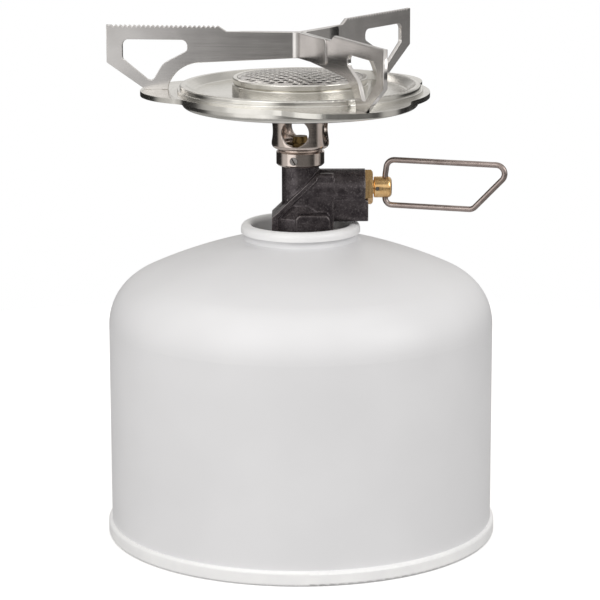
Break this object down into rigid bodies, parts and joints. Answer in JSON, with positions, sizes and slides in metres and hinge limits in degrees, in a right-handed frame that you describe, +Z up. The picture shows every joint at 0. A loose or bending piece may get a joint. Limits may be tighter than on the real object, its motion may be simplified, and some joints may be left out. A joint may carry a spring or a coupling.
{
  "type": "camping stove",
  "caption": "Canister-top camping stove: serrated folding-sheet pot support, perforated burner, black valve block with wire handle, on a screw-on gas canister.",
  "frame": {"origin": "on the canister's axis, in the plane that its base seam stands on", "axes": "+Z up, +X along the flame valve towards the wire handle"},
  "size_m": [0.112, 0.11, 0.1439],
  "materials": {
    "can_paint": "pale grey lacquer on drawn steel",
    "can_steel": "tinplate",
    "seal_rubber": "nitrile rubber",
    "acetal": "moulded acetal",
    "spring_steel": "spring steel",
    "black_casting": "black anodised die casting, satin",
    "brass": "turned brass",
    "sintered_bronze": "sintered bronze",
    "wire_steel": "drawn stainless wire",
    "ring_steel": "turned steel",
    "tube_steel": "turned and plated steel",
    "pan_steel": "pressed stainless steel",
    "cup_steel": "turned stainless steel",
    "mesh_steel": "perforated stainless steel",
    "arm_steel": "stamped stainless steel sheet"
  },
  "bodies": {
    "canister": {"canister_shell": "can_paint", "canister_base": "can_steel", "valve_cup": "can_steel", "cup_gasket": "seal_rubber", "thread_nipple": "can_steel", "valve_housing": "acetal", "stem_gasket": "seal_rubber", "valve_spring": "spring_steel"},
    "canister_stem": {"valve_stem": "acetal"},
    "seal": {"face_seal": "seal_rubber"},
    "stove": {"valve_body": "black_casting", "thread_insert": "brass", "actuator_pin": "brass", "gas_filter": "sintered_bronze", "valve_seat": "brass", "gland_washer": "brass", "gland_nut": "brass", "jet": "brass", "clamp_ring": "ring_steel", "ring_screw": "spring_steel", "mixing_tube": "tube_steel", "burner_bowl": "pan_steel", "burner_plate": "pan_steel", "burner_cup": "cup_steel", "burner_mesh": "mesh_steel", "gas_baffle": "mesh_steel", "pot_arm_left": "arm_steel", "pot_arm_front": "arm_steel", "pot_arm_back": "arm_steel"},
    "needle_ring": {"spindle_ring": "seal_rubber"},
    "knob": {"spindle": "brass", "hub": "brass", "hub_pin": "spring_steel"},
    "handle": {"wire_handle": "wire_steel"}
  },
  "joints": [
    {"name": "stove_rise", "type": "slide", "parent": "canister", "child": "seal", "axis": [0, 0, 1], "range_m": [0, 0.00544]},
    {"name": "stove_unscrew", "type": "hinge", "parent": "seal", "child": "stove", "pos_m": [0, 0, 0.082], "axis": [0, 0, 1], "range_deg": [0, 2160]},
    {"name": "stem_rise", "type": "slide", "parent": "canister", "child": "canister_stem", "axis": [0, 0, 1], "range_m": [0, 0.000951], "deforming": ["valve_spring"]},
    {"name": "needle_travel", "type": "slide", "parent": "stove", "child": "needle_ring", "axis": [1, 0, 0], "range_m": [0, 0.0015]},
    {"name": "valve_turn", "type": "hinge", "parent": "needle_ring", "child": "knob", "pos_m": [0.0237, 0, 0.0989], "axis": [1, 0, 0], "range_deg": [0, 720]},
    {"name": "handle_fold", "type": "hinge", "parent": "knob", "child": "handle", "pos_m": [0.0237, 0, 0.0989], "axis": [0, 0, 1], "range_deg": [-107, 143]}
  ],
  "couplings": [
    {"joint": "stove_rise", "follows": "stove_unscrew", "m_per_rad": 0.00014435},
    {"joint": "stem_rise", "follows": "stove_unscrew", "m_per_rad": 0.0000252},
    {"joint": "needle_travel", "follows": "valve_turn", "m_per_rad": 0.00011937}
  ]
}
